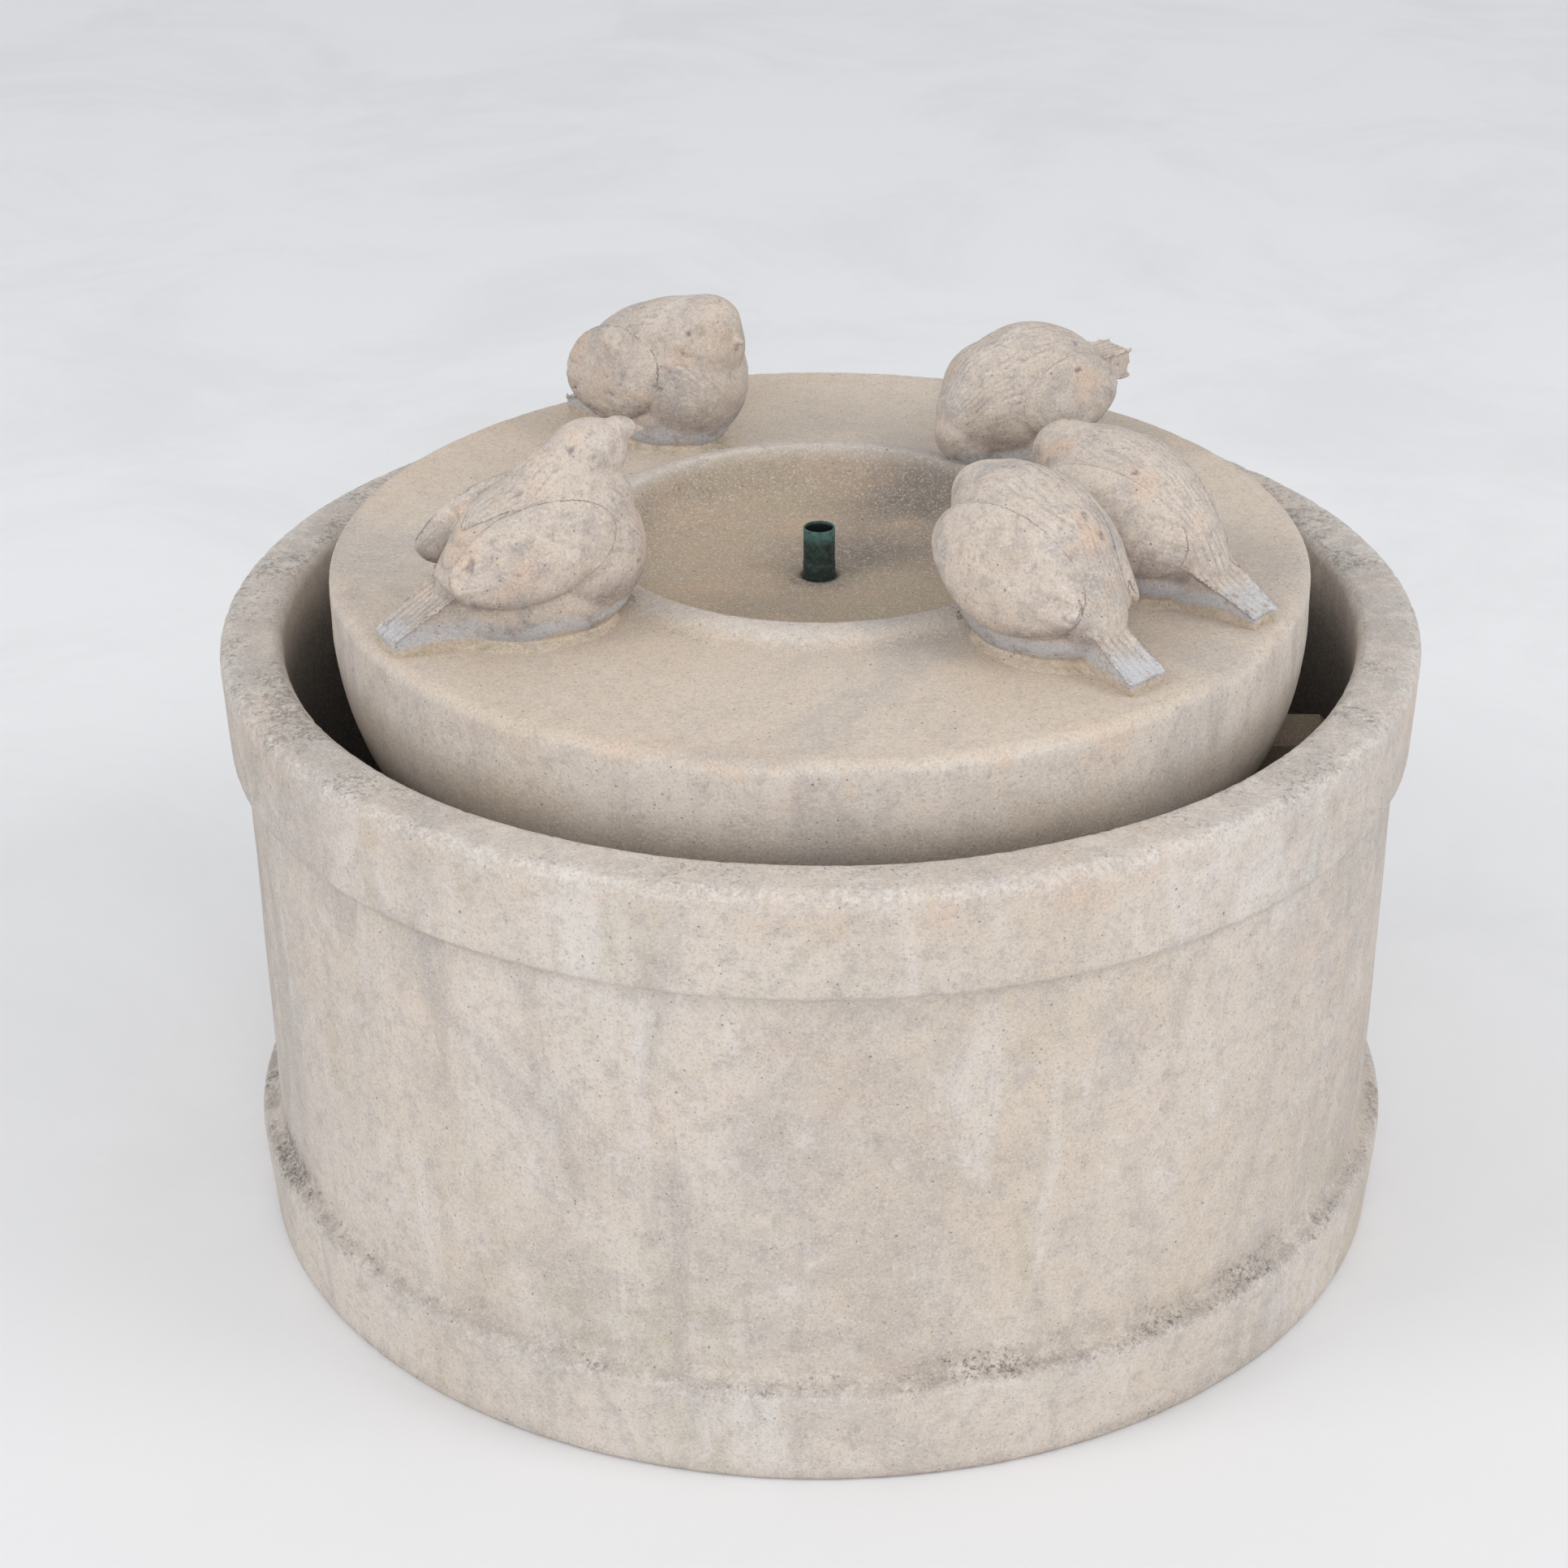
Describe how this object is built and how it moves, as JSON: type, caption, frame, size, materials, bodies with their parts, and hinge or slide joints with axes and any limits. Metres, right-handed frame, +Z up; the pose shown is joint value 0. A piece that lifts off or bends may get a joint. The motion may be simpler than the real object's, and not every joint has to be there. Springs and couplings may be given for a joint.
{
  "type": "tiered water fountain",
  "caption": "Round cast-stone garden fountain: a drum basin, a thick upper bowl with a central dish and copper riser, birds on its top and a pump inside.",
  "frame": {"origin": "on the ground, on the upright axis of the basin", "axes": "+Z up, +X to the right of the front view, +Y to the back, where the drain channel leaves"},
  "size_m": [0.8196, 0.8196, 0.615],
  "materials": {
    "basin_stone": "matte",
    "bowl_stone": "matte",
    "bird_stone": "matte",
    "pier_stone": "matte",
    "pad_rubber": "matte",
    "pin_steel": "satin",
    "riser_copper": "satin",
    "black_rubber": "matte",
    "cup_rubber": "satin",
    "clear_hose": "gloss",
    "clamp_steel": "satin",
    "pump_plastic": "satin",
    "cage_plastic": "satin",
    "dial_plastic": "satin",
    "potting_resin": "satin",
    "core_steel": "satin",
    "coil_copper": "gloss",
    "magnet": "matte",
    "impeller_plastic": "satin",
    "shaft_ceramic": "gloss",
    "filter_sponge": "matte"
  },
  "bodies": {
    "basin": {"basin": "basin_stone", "bearing_pad_1": "pad_rubber", "bearing_pad_2": "pad_rubber", "bearing_pad_3": "pad_rubber", "clamp_screw_lower": "clamp_steel", "clamp_screw_upper": "clamp_steel", "cord_gland": "pump_plastic", "cover_screws": "clamp_steel", "cover_seal": "black_rubber", "hose_clamp_lower": "clamp_steel", "hose_clamp_upper": "clamp_steel", "outlet_adapter": "pump_plastic", "potting_resin": "potting_resin", "pump_case": "pump_plastic", "riser_tube": "riser_copper", "rotor_shaft": "shaft_ceramic", "shaft_bush_front": "black_rubber", "shaft_bush_rear": "black_rubber", "stator_coil": "coil_copper", "stator_core": "core_steel", "suction_cups": "cup_rubber", "supply_hose": "clear_hose", "support_pier_1": "pier_stone", "support_pier_2": "pier_stone", "support_pier_3": "pier_stone", "volute_cover": "pump_plastic"},
    "bowl": {"upper_bowl": "bowl_stone", "riser_bush": "black_rubber", "bird_front_left": "bird_stone", "bird_back_left": "bird_stone", "bird_back_right": "bird_stone", "bird_right": "bird_stone", "bird_front_right": "bird_stone", "bird_front_left_pin": "pin_steel", "bird_back_left_pin": "pin_steel", "bird_back_right_pin": "pin_steel", "bird_right_pin": "pin_steel", "bird_front_right_pin": "pin_steel"},
    "rotor": {"rotor_magnet": "magnet", "impeller": "impeller_plastic"},
    "flow_dial": {"flow_dial": "dial_plastic"},
    "intake_cage": {"intake_cage": "cage_plastic", "filter_sponge": "filter_sponge"},
    "drain_stopper": {"drain_stopper": "black_rubber"}
  },
  "joints": [
    {"name": "bowl_lift", "type": "slide", "parent": "basin", "child": "bowl", "axis": [0, 0, 1], "range_m": [0, 0.2]},
    {"name": "stopper_pull", "type": "slide", "parent": "basin", "child": "drain_stopper", "axis": [0, 0, 1], "range_m": [0, 0.06]},
    {"name": "rotor_spin", "type": "hinge", "parent": "basin", "child": "rotor", "pos_m": [0, 0, 0.12], "axis": [1, 0, 0], "continuous": true},
    {"name": "dial_turn", "type": "hinge", "parent": "basin", "child": "flow_dial", "pos_m": [0, 0, 0.12], "axis": [1, 0, 0], "range_deg": [0, 90]},
    {"name": "cage_slide", "type": "slide", "parent": "basin", "child": "intake_cage", "axis": [1, 0, 0], "range_m": [0, 0.06]}
  ]
}
